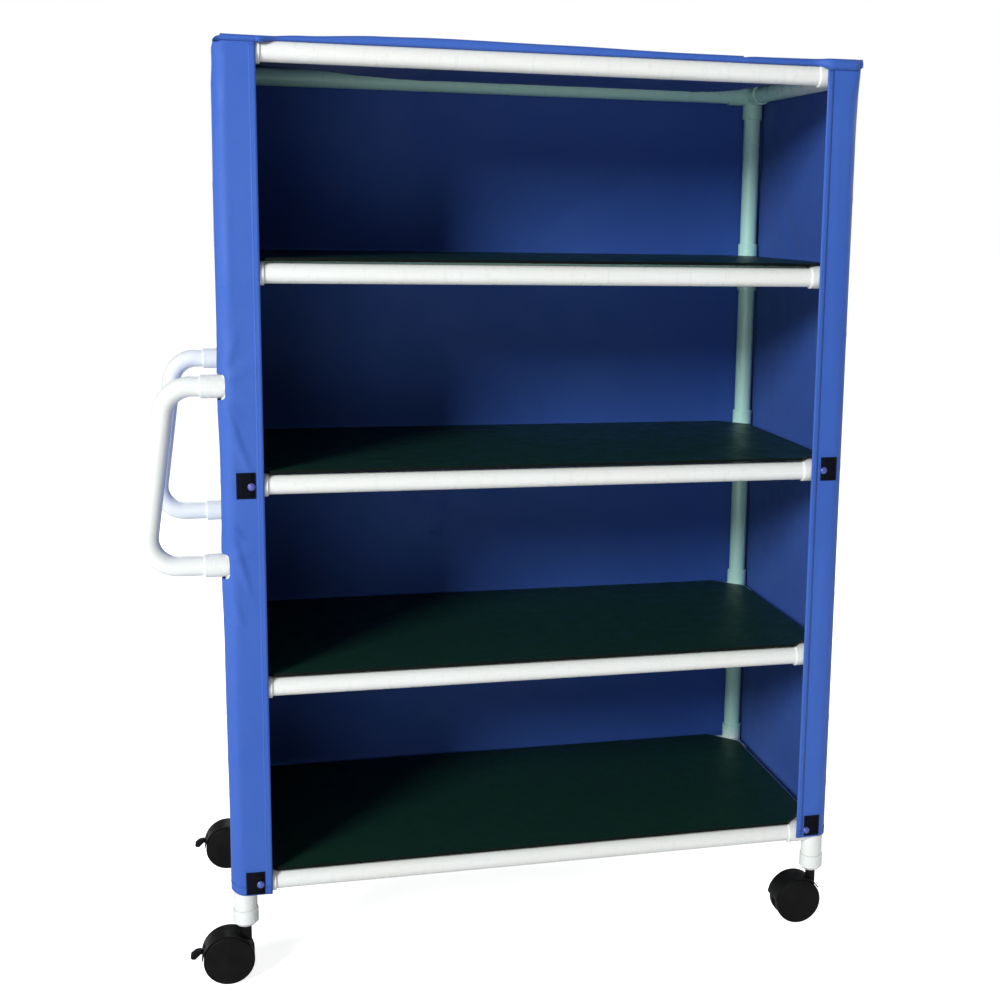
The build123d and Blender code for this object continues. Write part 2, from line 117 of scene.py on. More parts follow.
# --- materials ---
def material(name, base, roughness, **constants):
    """A new material on one principled shader; constants are socket names and values."""
    made = bpy.data.materials.new(name)
    made.use_nodes = True
    shader = made.node_tree.nodes["Principled BSDF"]
    shader.inputs["Base Color"].default_value = (*base, 1)
    shader.inputs["Roughness"].default_value = roughness
    for socket, value in constants.items():
        shader.inputs[socket.replace("_", " ")].default_value = value
    return made, shader


def add_node(made, kind, inputs=(), **settings):
    """A node with its settings; inputs maps a socket to a number or another node's socket."""
    node = made.node_tree.nodes.new(kind)
    for name, value in settings.items():
        setattr(node, name, value)
    for socket, value in dict(inputs).items():
        if isinstance(value, bpy.types.NodeSocket):
            made.node_tree.links.new(value, node.inputs[socket])
        else:
            node.inputs[socket].default_value = value
    return node


def place_of(made):
    """Coordinates in metres, in the piece's own frame."""
    return add_node(made, "ShaderNodeTexCoord").outputs["Object"]


def noise_field(made, scale, detail=3.0, roughness=0.5, stretch=None):
    """Noise over the piece; stretch squeezes it along some axes."""
    where = place_of(made)
    if stretch:
        where = add_node(made, "ShaderNodeMapping", {"Vector": where, "Scale": stretch}).outputs[0]
    field = add_node(made, "ShaderNodeTexNoise",
                     {"Vector": where, "Scale": scale, "Detail": detail, "Roughness": roughness})
    return field.outputs["Fac"]


def spread(made, field, low, high, reach=(0.35, 0.65)):
    """Maps a field onto low to high; reach is the field's own low and high."""
    return add_node(made, "ShaderNodeMapRange", {
        "Value": field, "From Min": reach[0], "From Max": reach[1], "To Min": low, "To Max": high,
    }).outputs[0]


def mixed(made, share, first, second):
    """Colour between first and second by share."""
    node = add_node(made, "ShaderNodeMix", data_type="RGBA")
    sockets = (node.inputs[0], node.inputs[6], node.inputs[7])
    for socket, value in zip(sockets, (share, first, second)):
        if isinstance(value, bpy.types.NodeSocket):
            made.node_tree.links.new(value, socket)
        else:
            socket.default_value = value if isinstance(value, float) else (*value, 1)
    return node.outputs[2]


def arithmetic(made, operation, *values):
    """Result of a maths node on one or two values."""
    node = add_node(made, "ShaderNodeMath", dict(enumerate(values)), operation=operation)
    return node.outputs[0]


def relief(made, shader, height, distance, strength, under=None):
    """Adds a bump from a height field; under is an earlier bump."""
    node = add_node(made, "ShaderNodeBump",
                    {"Height": height, "Distance": distance, "Strength": strength})
    if under:
        made.node_tree.links.new(under, node.inputs["Normal"])
    made.node_tree.links.new(node.outputs[0], shader.inputs["Normal"])
    return node.outputs[0]


def wire(made, output, shader, socket):
    made.node_tree.links.new(output, shader.inputs[socket])


def white_plastic(name, base, roughness, painted_back_shade=False):
    """Rigid white pipe plastic with soft scuffs and a fine moulded ripple.

    With the last argument, a painted grey-green shade goes on what the cover shades, towards the
    trolley's back.
    """
    made, shader = material(name, base, roughness, Specular_IOR_Level=0.5,
                            Coat_Weight=0.12, Coat_Roughness=0.2)
    cloudy = spread(made, noise_field(made, 5.0, 4.0), 0.0, 1.0)
    aged = tuple(c * k for c, k in zip(base, (0.99, 0.98, 0.955)))
    colour = mixed(made, cloudy, base, aged)
    if painted_back_shade:
        # painted shade: grey-green towards the back and above the hem, where the cover shades the
        # pipes
        place = add_node(made, "ShaderNodeSeparateXYZ", {0: place_of(made)})
        at_back = spread(made, place.outputs["Y"], 0.0, 1.0, (FRONT_Y + 0.05, FRONT_Y + 0.45))
        covered = spread(made, place.outputs["Z"], 0.0, 1.0, (HEM_Z + 0.03, HEM_Z + 0.08))
        painted_shade_green = tuple(c * k for c, k in zip(base, (0.58, 0.95, 0.84)))
        share = arithmetic(made, "MULTIPLY", at_back, covered)
        colour = mixed(made, share, colour, painted_shade_green)
    wire(made, colour, shader, "Base Color")
    scuffs = noise_field(made, 60.0, 6.0, 0.7, (1.0, 1.0, 0.25))
    wire(made, spread(made, scuffs, roughness - 0.07, roughness + 0.12), shader, "Roughness")
    relief(made, shader, noise_field(made, 70.0, 2.0), 0.0001, 0.08)
    return made


def shelf_board():
    """Very dark green sheet with a fine grain and faint rub marks; its upright edges get a
    near-black painted shade.
    """
    base = (0.0075, 0.0320, 0.0210)
    made, shader = material("shelf_board", base, 0.45, Specular_IOR_Level=0.12)
    rub = spread(made, noise_field(made, 9.0, 6.0, 0.65, (1.0, 2.2, 1.0)), 0.0, 1.0)
    # painted shade: near black on the upright edges, the flat faces keep their colour
    facing = add_node(made, "ShaderNodeNewGeometry").outputs["True Normal"]
    upward = add_node(made, "ShaderNodeSeparateXYZ", {0: facing}).outputs["Z"]
    flat_faces_not_painted_shade = arithmetic(made, "ABSOLUTE", upward)
    faces = mixed(made, rub, base, (0.0080, 0.0360, 0.0210))
    wire(made, mixed(made, flat_faces_not_painted_shade, (0.0020, 0.0045, 0.0035), faces), shader, "Base Color")
    wire(made, spread(made, noise_field(made, 22.0, 5.0, 0.7), 0.36, 0.52), shader, "Roughness")
    grain = relief(made, shader, noise_field(made, 900.0, 2.0), 0.0002, 0.35)
    relief(made, shader, noise_field(made, 3.0, 2.0), 0.003, 0.15, grain)
    return made


def cover_cloth(name, shade):
    """Royal blue coated cloth: a fine plain weave, faint fading and rubbed creases.

    A shade below 1 makes the darker inside copy, with less shine and sheen: partly the duller back
    of the coated cloth, partly painted shade for the cover's shaded inside.
    """
    blues = ((0.036, 0.118, 0.50), (0.046, 0.136, 0.53), (0.026, 0.090, 0.42))
    base, faded, deep = ([channel * shade for channel in blue] for blue in blues)
    made, shader = material(name, base, 0.62, Specular_IOR_Level=0.35 * shade,
                            Sheen_Weight=0.10 * shade, Sheen_Roughness=0.45)
    fade = spread(made, noise_field(made, 2.4, 4.0, 0.6), 0.0, 1.0)
    body = mixed(made, fade, base, faded)
    fleck = spread(made, noise_field(made, 420.0, 2.0), 0.0, 0.35)
    wire(made, mixed(made, fleck, body, deep), shader, "Base Color")
    wire(made, spread(made, noise_field(made, 14.0, 4.0), 0.54, 0.70), shader, "Roughness")
    where = place_of(made)
    threads = []
    for axis in ("X", "Y", "Z"):
        wave = add_node(made, "ShaderNodeTexWave", {
            "Vector": where, "Scale": 190.0, "Distortion": 0.6, "Detail": 1.0, "Detail Scale": 3.0,
        }, wave_type="BANDS", bands_direction=axis)
        threads.append(wave.outputs["Fac"])
    level = arithmetic(made, "ADD", threads[0], threads[1])
    weave = arithmetic(made, "MULTIPLY", level, threads[2])
    woven = relief(made, shader, weave, 0.00022, 0.5)
    relief(made, shader, noise_field(made, 11.0, 5.0, 0.55), 0.004, 0.16, woven)
    return made


def loop_tape():
    """Black fastening tape with a fuzzy pile."""
    made, shader = material("loop_tape", (0.004, 0.004, 0.007), 0.9, Specular_IOR_Level=0.08)
    pile = noise_field(made, 700.0, 3.0, 0.7)
    shares = spread(made, pile, 0.0, 1.0)
    tone = mixed(made, shares, (0.002, 0.002, 0.005), (0.006, 0.007, 0.014))
    wire(made, tone, shader, "Base Color")
    relief(made, shader, pile, 0.0008, 0.8)
    return made


def stud_plastic():
    """Glossy blue press stud, slightly scratched."""
    base = (0.055, 0.075, 0.36)
    made, shader = material("stud_plastic", base, 0.25, Coat_Weight=0.4, Coat_Roughness=0.12)
    marks = noise_field(made, 300.0, 4.0, 0.7)
    tone = mixed(made, spread(made, marks, 0.0, 1.0), base, (0.10, 0.12, 0.45))
    wire(made, tone, shader, "Base Color")
    wire(made, spread(made, marks, 0.18, 0.4), shader, "Roughness")
    relief(made, shader, marks, 0.0001, 0.3)
    return made


def black_plastic(name, base, roughness, grain):
    """Moulded black nylon with a fine spark texture and dusty patches."""
    made, shader = material(name, base, roughness, Specular_IOR_Level=0.09)
    dust = spread(made, noise_field(made, 30.0, 6.0, 0.65), 0.0, 1.0)
    dusty = tuple(c * 1.6 + 0.001 for c in base)
    wire(made, mixed(made, dust, base, dusty), shader, "Base Color")
    worn = spread(made, noise_field(made, 60.0, 4.0), roughness - 0.08, roughness + 0.12)
    wire(made, worn, shader, "Roughness")
    relief(made, shader, noise_field(made, grain, 2.0), 0.00025, 0.4)
    return made


def plated_steel():
    """Bright plated steel with fine turning marks."""
    made, shader = material("plated_steel", (0.56, 0.57, 0.60), 0.3, Metallic=1.0)
    turned = noise_field(made, 240.0, 3.0, 0.6, (1.0, 1.0, 6.0))
    wire(made, spread(made, turned, 0.22, 0.42), shader, "Roughness")
    relief(made, shader, turned, 0.0001, 0.3)
    return made


def thread(name, base):
    """Twisted sewing thread."""
    made, shader = material(name, base, 0.7, Specular_IOR_Level=0.3)
    twist = noise_field(made, 1500.0, 1.0)
    dark = tuple(c * 0.6 for c in base)
    wire(made, mixed(made, spread(made, twist, 0.0, 1.0), base, dark), shader, "Base Color")
    relief(made, shader, twist, 0.0001, 0.5)
    return made


PIPE = white_plastic("pipe_white", (0.84, 0.88, 0.87), 0.30)
FITTING = white_plastic("fitting_white", (0.82, 0.86, 0.85), 0.24)
# copies with a painted grey-green shade, for the frame parts under the cover
PIPE_PAINTED_SHADE = white_plastic("pipe_white_painted_shade", (0.85, 0.88, 0.87), 0.30, True)
FITTING_PAINTED_SHADE = white_plastic("fitting_white_painted_shade", (0.83, 0.86, 0.85), 0.24, True)
BOARD = shelf_board()
CLOTH_BLUE = cover_cloth("cover_cloth", 1.0)
# darker inside copy: partly the duller back of the cloth, partly painted shade for the cover's
# inside
CLOTH_INSIDE_DULL_PAINTED_SHADE = cover_cloth("cover_cloth_inside_dull_painted_shade", 0.74)
TAPE = loop_tape()
THREAD = thread("thread_blue", (0.040, 0.115, 0.44))
DARK_THREAD = thread("thread_dark", (0.012, 0.016, 0.05))
STUD = stud_plastic()
CASTER = black_plastic("caster_black", (0.0050, 0.0052, 0.0055), 0.40, 900.0)
TREAD = black_plastic("tread_black", (0.0045, 0.0045, 0.0047), 0.48, 1300.0)
STEEL = plated_steel()
SLOT_MATERIALS = {
    "tube_plastic": PIPE,
    "fitting_plastic": FITTING,
    "cap_plastic": FITTING,
    "sleeve_plastic": CASTER,
    "shelf_board": BOARD,
    "cover_fabric": CLOTH_BLUE,
    "patch_fabric": TAPE,
    "snap_plastic": STUD,
    "caster_plastic": CASTER,
    "wheel_tread": TREAD,
    "lever_plastic": CASTER,
    "axle_steel": STEEL,
}
SLOTS = {entry["node"]: entry["material_slot"] for entry in frame["record"]["subparts"]}
for node_name, thing in nodes.items():
    made = SLOT_MATERIALS[SLOTS[node_name]]
    # frame parts under the cover take the copies with painted shade at the back
    if node_name.startswith(("leg_tubes", "leg_fittings", "shelf_", "top_")):
        made = {PIPE: PIPE_PAINTED_SHADE, FITTING: FITTING_PAINTED_SHADE}.get(made, made)
    thing.data.materials.clear()
    thing.data.materials.append(made)


# --- cloth patterns ---
def dense(outline, step):
    """The outline with points no further apart than step."""
    points = []
    for a, b in zip(outline, outline[1:] + outline[:1]):
        a, b = Vector(a), Vector(b)
        count = max(1, math.ceil((b - a).length / step))
        points += [a.lerp(b, i / count) for i in range(count)]
    return points


def inside(points, outline):
    """Which of the points lie inside the outline."""
    x, y = points[:, 0], points[:, 1]
    odd = np.zeros(len(points), bool)
    for a, b in zip(outline, outline[1:] + outline[:1]):
        if a.y == b.y:
            continue
        between = (a.y > y) != (b.y > y)
        odd ^= between & (x < (b.x - a.x) * (y - a.y) / (b.y - a.y) + a.x)
    return odd


def pattern(outline, step=PATTERN_GRID):
    """Flat pattern piece: points and triangles that fill an outline."""
    edge = dense(outline, step)
    low = Vector((min(p.x for p in edge), min(p.y for p in edge)))
    high = Vector((max(p.x for p in edge), max(p.y for p in edge)))
    across = max(1, round((high.x - low.x) / step))
    upward = max(1, round((high.y - low.y) / step))
    grid = np.array([(low.x + (high.x - low.x) * i / across, low.y + (high.y - low.y) * j / upward)
                     for i in range(across + 1) for j in range(upward + 1)])
    grid = grid[inside(grid, edge)]
    rim = np.array([tuple(p) for p in edge])
    gap = np.array([np.hypot(*(rim - p).T).min() for p in grid]) if len(grid) else np.zeros(0)
    points = edge + [Vector(p) for p in grid[gap > step * 0.5]]
    loop = [(i, (i + 1) % len(edge)) for i in range(len(edge))]
    filled = geometry.delaunay_2d_cdt(points, loop, [], 1, 1e-7)
    return filled[0], filled[2]


def mesh_object(name, points, faces, made):
    """A mesh object from points and faces."""
    mesh = bpy.data.meshes.new(name)
    mesh.from_pydata([tuple(p) for p in points], [], [tuple(f) for f in faces])
    mesh.validate()
    mesh.shade_smooth()
    mesh.materials.append(made)
    thing = bpy.data.objects.new(name, mesh)
    bpy.context.scene.collection.objects.link(thing)
    return thing


def sewn(name, layers, place, thickness=CLOTH, made=CLOTH_BLUE, inside=CLOTH_INSIDE_DULL_PAINTED_SHADE,
         step=PATTERN_GRID):
    """One cloth piece: each layer is (outline, lift), laid out by place and given thickness."""
    points, faces = [], []
    for outline, lift in layers:
        flat_faces_not_painted_shade, triangles = pattern(outline, step)
        start = len(points)
        points += [place(p.x, p.y, lift) for p in flat_faces_not_painted_shade]
        faces += [[start + i for i in reversed(triangle)] for triangle in triangles]
    thing = mesh_object(name, points, faces, made)
    thicken(thing, thickness, inside)
    return thing


def thicken(thing, thickness, inside=None):
    """Thickens a sheet inwards from its outer face; inside is its inner side's material."""
    modifier = thing.modifiers.new("thickness", "SOLIDIFY")
    modifier.thickness = thickness
    modifier.offset = -1.0
    modifier.use_even_offset = False
    if inside:
        thing.data.materials.append(inside)
        modifier.material_offset = 1


def rectangle(low, high):
    return [(low[0], low[1]), (high[0], low[1]), (high[0], high[1]), (low[0], high[1])]


# --- the cover's wall: u runs round the trolley from the left strip's free edge ---
WIDTH, DEPTH = RIGHT_X - LEFT_X, REAR_Y - FRONT_Y
U_FRONT_LEFT = STRIP_EDGE
U_LEFT = U_FRONT_LEFT + CORNER_ARC
U_REAR_LEFT = U_LEFT + DEPTH
U_BACK = U_REAR_LEFT + CORNER_ARC
U_REAR_RIGHT = U_BACK + WIDTH
U_RIGHT = U_REAR_RIGHT + CORNER_ARC
U_FRONT_RIGHT = U_RIGHT + DEPTH
U_STRIP_RIGHT = U_FRONT_RIGHT + CORNER_ARC
U_END = U_STRIP_RIGHT + STRIP_RIGHT_EDGE
# each run: u at its start and end, the axis points there, and the outward direction's angles
RUNS = [
    (0.0, U_FRONT_LEFT, (LEFT_X + STRIP_EDGE, FRONT_Y), (LEFT_X, FRONT_Y), -90, -90),
    (U_FRONT_LEFT, U_LEFT, (LEFT_X, FRONT_Y), (LEFT_X, FRONT_Y), -90, -180),
    (U_LEFT, U_REAR_LEFT, (LEFT_X, FRONT_Y), (LEFT_X, REAR_Y), -180, -180),
    (U_REAR_LEFT, U_BACK, (LEFT_X, REAR_Y), (LEFT_X, REAR_Y), -180, -270),
    (U_BACK, U_REAR_RIGHT, (LEFT_X, REAR_Y), (RIGHT_X, REAR_Y), -270, -270),
    (U_REAR_RIGHT, U_RIGHT, (RIGHT_X, REAR_Y), (RIGHT_X, REAR_Y), -270, -360),
    (U_RIGHT, U_FRONT_RIGHT, (RIGHT_X, REAR_Y), (RIGHT_X, FRONT_Y), -360, -360),
    (U_FRONT_RIGHT, U_STRIP_RIGHT, (RIGHT_X, FRONT_Y), (RIGHT_X, FRONT_Y), -360, -450),
    (U_STRIP_RIGHT, U_END, (RIGHT_X, FRONT_Y), (RIGHT_X - STRIP_RIGHT_EDGE, FRONT_Y), -450, -450),
]


def wall_base(u):
    """Point on the line of leg axes and rails, the outward direction, and its angle."""
    for start, end, a, b, turn_a, turn_b in RUNS:
        if u <= end or end == U_END:
            share = (u - start) / (end - start)
            angle = math.radians(turn_a + (turn_b - turn_a) * share)
            outward = Vector((math.cos(angle), math.sin(angle)))
            return Vector(a).lerp(Vector(b), share), outward, angle


# soft creases in the wall: start (u, z), end (u, z), height, width
CREASES = [
    ((U_LEFT - 0.024, 1.262), (0.030, 1.126), 0.0044, 0.0050),
    ((U_LEFT - 0.012, 1.240), (0.050, 1.160), 0.0030, 0.0045),
    ((U_LEFT - 0.036, 0.985), (0.034, 0.868), 0.0042, 0.0048),
    ((U_LEFT - 0.020, 1.020), (0.046, 0.985), 0.0030, 0.0045),
    ((U_LEFT - 0.026, 0.885), (0.050, 0.800), 0.0026, 0.0050),
    ((U_LEFT - 0.030, 1.335), (0.046, 1.420), 0.0010, 0.0065),
    ((0.070, 1.90), (0.060, 1.45), 0.0010, 0.0090),
    ((0.075, 0.78), (0.066, 0.30), 0.0009, 0.0090),
    ((U_END - 0.030, 1.90), (U_END - 0.040, 1.30), 0.0011, 0.0080),
    ((U_END - 0.066, 1.85), (U_END - 0.074, 1.10), 0.0013, 0.0070),
    ((U_END - 0.040, 0.95), (U_END - 0.030, 0.40), 0.0009, 0.0080),
    ((U_END - 0.090, 0.34), (U_END - 0.020, 0.262), 0.0010, 0.0060),
    ((U_REAR_LEFT - 0.03, 1.30), (U_REAR_LEFT - 0.22, 1.08), 0.0022, 0.0100),
    ((U_LEFT + 0.03, 1.27), (U_LEFT + 0.25, 1.04), 0.0024, 0.0110),
    ((U_LEFT + 0.04, 0.90), (U_LEFT + 0.30, 0.62), 0.0022, 0.0120),
    ((U_REAR_LEFT - 0.04, 0.95), (U_REAR_LEFT - 0.26, 1.20), 0.0018, 0.0100),
    ((U_BACK + 0.05, 1.88), (U_BACK + 0.42, 1.50), 0.0030, 0.0180),
    ((U_REAR_RIGHT - 0.05, 1.90), (U_REAR_RIGHT - 0.55, 1.62), 0.0030, 0.0200),
    ((U_BACK + 0.15, 1.30), (U_BACK + 0.80, 1.02), 0.0028, 0.0220),
    ((U_REAR_RIGHT - 0.10, 1.36), (U_REAR_RIGHT - 0.60, 1.30), 0.0022, 0.0180),
    ((U_BACK + 0.10, 0.80), (U_BACK + 0.50, 0.52), 0.0024, 0.0200),
    ((U_RIGHT + 0.06, 1.82), (U_RIGHT + 0.34, 1.46), 0.0024, 0.0140),
    ((U_FRONT_RIGHT - 0.05, 1.20), (U_RIGHT + 0.12, 0.92), 0.0020, 0.0140),
]


def crease_height(u, z):
    """Sum of the soft creases at a point of the wall."""
    total = 0.0
    for (u0, z0), (u1, z1), height, width in CREASES:
        du, dz = u1 - u0, z1 - z0
        share = min(1.0, max(0.0, ((u - u0) * du + (z - z0) * dz) / (du * du + dz * dz)))
        away = math.hypot(u - u0 - share * du, z - z0 - share * dz)
        if away < 3 * width:
            total += height * bump(away, 0.0, width) * math.sin(math.pi * (0.12 + 0.76 * share))
    return total


def wall_swell(u, z):
    """How far the hanging cloth stands out from its plain place."""
    low = z - HEM_Z
    slack = 0.0006 * (1 + wander(1, u * 5.0, z * 1.3)) + 0.0005 * (1 + wander(2, u * 17.0, z * 2.2))
    slack += crease_height(u, z)
    # packing folds: faint ridges on a regular grid
    ridge = sum(bump(z, HEM_Z + 0.30 * k, 0.006) for k in range(1, 6))
    ridge += sum(bump(u, U_LEFT + 0.33 * k, 0.006) for k in range(1, 8))
    slack += 0.0005 * ridge
    # belly of the wide panels between their rails
    for start, end, depth in ((U_LEFT, U_REAR_LEFT, -0.0012), (U_BACK, U_REAR_RIGHT, 0.006),
                              (U_RIGHT, U_FRONT_RIGHT, 0.005)):
        if start < u < end:
            share = (u - start) / (end - start)
            belly = math.sin(math.pi * share) * math.sin(math.pi * min(1.0, low / BELLY_HEIGHT))
            slack += depth * belly * (1 + 0.6 * wander(3, u * 3.1, z * 2.3))
            diagonal = wander(4, (u - start) * 6.0 + z * 5.0, z * 2.5 - u * 2.0)
            slack += 0.55 * abs(depth) * belly * diagonal
    # the left front corner stands off a little at handle height
    at_handles = smooth(z, 0.3, 0.7) * (1 - smooth(z, 1.60, 1.88))
    slack += 0.0018 * bump(u, U_LEFT - 0.01, 0.05) * at_handles
    # the cloth is pushed out round the handle collars, with creases that run from them
    for height in HANDLE_HEIGHTS:
        for corner in (U_LEFT, U_REAR_LEFT):
            away = math.hypot(u - corner, z - height)
            slack += 0.0022 * math.exp(-(away / 0.045) ** 2)
            crease = math.cos(9.0 * math.atan2(z - height, u - corner) + 1.1)
            slack += 0.0009 * (1 + crease) * math.exp(-((away - 0.06) / 0.05) ** 2)
    return slack


def wall(u, z, lift=0.0):
    """Point of the cover's wall at u and height z; lift is further out."""
    base, outward, angle = wall_base(u)
    reach = WALL_OFFSET + wall_swell(u, z) * (1 - 0.9 * smooth(z, TOP_Z - 0.03, WALL_TOP))
    left = smooth(-outward.x, 0.1, 0.8)
    right = smooth(outward.x, 0.1, 0.9)
    reach -= 0.0007 * right * (1 - smooth(z, 0.6, 1.6))
    reach += 0.0026 * right * smooth(z, TOP_Z - 0.14, WALL_TOP)
    # at the top the left side closes in over the round fittings
    over = max(0.0, z - TOP_Z)
    rounded = math.sqrt(max(0.0, FITTING_RADIUS ** 2 - over * over))
    reach -= left * max(0.0, reach - rounded) * smooth(z, TOP_Z - 0.075, TOP_Z - 0.025)
    square = max(abs(math.cos(angle)), abs(math.sin(angle)))
    widen = (1 / square - 1) * 0.55 * smooth(z, TOP_Z - 0.05, WALL_TOP)
    point = base + outward * (reach * (1 + widen) + lift)
    free = 1 - smooth(z, HEM_Z, HEM_Z + 0.4)
    drop = 0.0020 * wander(5, u * 4.0) * free
    rise = 0.016 * smooth(u, U_FRONT_RIGHT - 0.05, U_FRONT_RIGHT + 0.02) * free
    rise += 0.009 * bump(u, U_LEFT - 0.008, 0.022) * free
    return Vector((point.x, point.y, z + drop + rise))


def bite(height, side, depth, squareness):
    """Points of the notch round a handle collar, going up, on one side (1 or -1) of an edge."""
    points = []
    for i in range(NOTCH_STEPS + 1):
        angle = math.pi * (i / NOTCH_STEPS - 0.5)
        inwards, up = max(0.0, math.cos(angle)), math.sin(angle)
        up = COLLAR_RADIUS * math.copysign(abs(up) ** squareness, up)
        points.append((side * depth * inwards ** squareness, height + up))
    return points


def side_edge(u, side, depth, going_up, squareness=0.75):
    """An edge of a wall piece at u, with its notches for the handle collars."""
    points = [(u, HEM_Z)]
    for height in HANDLE_HEIGHTS:
        points += [(u + du, z) for du, z in bite(height, side, depth, squareness)]
    points.append((u, WALL_TOP))
    return points if going_up else points[::-1]


def wall_layers(u_low, u_high, outline, hem_sides=()):
    """A wall piece's cloth with its bottom hem, and hems along its free edges."""
    bottom = rectangle((u_low, HEM_Z), (u_high, HEM_Z + BOTTOM_HEM))
    layers = [(outline, 0.0), (bottom, HEM_LIFT)]
    for u in hem_sides:
        edge = sorted((u, u + HEM_WIDTH if u < U_END / 2 else u - HEM_WIDTH))
        layers.append((rectangle((edge[0], HEM_Z), (edge[1], WALL_TOP - 0.012)), HEM_LIFT))
    return layers


def finish_piece(thing, slot, *replaced):
    """Rides a piece on the frame body, in the place of the CAD nodes."""
    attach(thing, "frame")
    if replaced:
        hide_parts(*replaced)
    return thing


SIDE_BITE = COLLAR_RADIUS     # depth of the notches on the flat sides
CORNER_BITE = 0.0285          # depth of the notches on the round corners
strip_left_edge = side_edge(U_LEFT, -1, CORNER_BITE, True, 0.35)
strip_left_outline = [(0.0, HEM_Z)] + strip_left_edge + [(0.0, WALL_TOP)]
left_outline = side_edge(U_REAR_LEFT, -1, SIDE_BITE, True) + side_edge(U_LEFT, 1, SIDE_BITE, False)
back_edge = side_edge(U_REAR_LEFT, 1, CORNER_BITE, False)
back_outline = [(U_RIGHT, HEM_Z), (U_RIGHT, WALL_TOP)] + back_edge
right_outline = rectangle((U_RIGHT, HEM_Z), (U_FRONT_RIGHT, WALL_TOP))
strip_right_outline = rectangle((U_FRONT_RIGHT, HEM_Z), (U_END, WALL_TOP))
wall_pieces = {
    "cover_strip_left": wall_layers(0.0, U_LEFT, strip_left_outline, (0.0,)),
    "cover_left": wall_layers(U_LEFT, U_REAR_LEFT, left_outline),
    "cover_back": wall_layers(U_REAR_LEFT, U_RIGHT, back_outline),
    "cover_right": wall_layers(U_RIGHT, U_FRONT_RIGHT, right_outline),
    "cover_strip_right": wall_layers(U_FRONT_RIGHT, U_END, strip_right_outline, (U_END,)),
}
# flat widths: the strips include the hem turned in at their free edge
for piece_name, layers in wall_pieces.items():
    grid = STRIP_GRID if "strip" in piece_name else PATTERN_GRID
    piece = sewn("cloth_" + piece_name, layers, wall, step=grid)
    finish_piece(piece, "cover_fabric", piece_name)


# --- the cover's top: a lid on the rails that sags between them and turns down at its edges ---
LID_LEFT, LID_RIGHT = LEFT_X - 0.0172, RIGHT_X + 0.0272
LID_FRONT, LID_BACK = FRONT_Y - WALL_OFFSET - 0.0012, REAR_Y + 0.0245
LID_COLUMNS, LID_ROWS = 150, 64
LID_TURN = 0.0125             # how far the lid's edge is turned down
LID_END_RADIUS = 0.0268       # of the lid's left edge, round the fittings
FOLD_STEP = LEFT_X + 1.074    # where the curtain's front fold steps
# x and height above the top rail's axis, of the lid's front edge over the strips
LIP = [(LEFT_X - 0.03, 0.0272), (LEFT_X + 0.07, 0.0268),
       (RIGHT_X - 0.06, 0.0300), (RIGHT_X + 0.03, 0.0355)]
# the same for the curtain's front fold
FOLD = [(LEFT_X + 0.06, 0.0275), (LEFT_X + 0.145, 0.0325), (LEFT_X + 0.30, 0.0385),
        (LEFT_X + 0.42, 0.0402), (LEFT_X + 0.67, 0.0382), (LEFT_X + 0.95, 0.0345),
        (FOLD_STEP, 0.0345)]


def over_strip(x, start=0.063, end=0.073):
    """1 over the front strips, 0 along the open front; start and end bound the left one's edge."""
    return 1 - smooth(x, LEFT_X + start, LEFT_X + end) + smooth(x, RIGHT_X - 0.068, RIGHT_X - 0.050)


def rail_crest(x):
    """Height of what the cloth lies on over the long rails: pipe, and fittings at the ends."""
    near_end = min(abs(x - LEFT_X), abs(x - RIGHT_X))
    return TOP_Z + TUBE_RADIUS + 0.0016 + 0.004 * (1 - smooth(near_end, 0.058, 0.10))


def front_edge(x):
    """How far forward the lid reaches: just over the rail, and past the strips at the ends."""
    middle_edge = FRONT_Y - 0.0070
    return middle_edge + (LID_FRONT - middle_edge) * over_strip(x)


def top_height(x, y):
    """Height of the cover's top."""
    across = min(1.0, max(0.0, (y - FRONT_Y) / DEPTH))
    hollow = (4 * across * (1 - across)) ** 0.9
    hollow *= smooth(x - LEFT_X, 0.0, 0.55) * smooth(RIGHT_X - x, 0.0, 0.20)
    sag = SAG * hollow * (1 + 0.08 * wander(6, x * 2.5, y * 2.0))
    creases = 0.0025 * hollow ** 0.5 * wander(7, x * 9.0 + y * 5.0, y * 3.0)
    ends = 0.0012 * hollow ** 0.3 * wander(16, x * 3.0, y * 12.0 + x * 8.0)
    height = rail_crest(x) - sag + creases + ends
    before = max(0.0, FRONT_Y - y)
    crest = height - TOP_Z
    round_off = crest - math.sqrt(max(0.0, crest * crest - before * before))
    lip = TOP_Z + through(x, LIP) - height
    height += over_strip(x) * lip * smooth(before, 0.0, 0.028) - (1 - over_strip(x)) * round_off
    return height


def quad_sheet(name, rows):
    """A sheet from rows of points, all of one length."""
    width = len(rows[0])
    points = [p for row in rows for p in row]
    faces = [(r * width + c, r * width + c + 1, (r + 1) * width + c + 1, (r + 1) * width + c)
             for r in range(len(rows) - 1) for c in range(width - 1)]
    thing = mesh_object(name, points, faces, CLOTH_BLUE)
    thicken(thing, CLOTH, CLOTH_INSIDE_DULL_PAINTED_SHADE)
    return thing


def spaced(low, high, count):
    return [low + (high - low) * i / count for i in range(count + 1)]


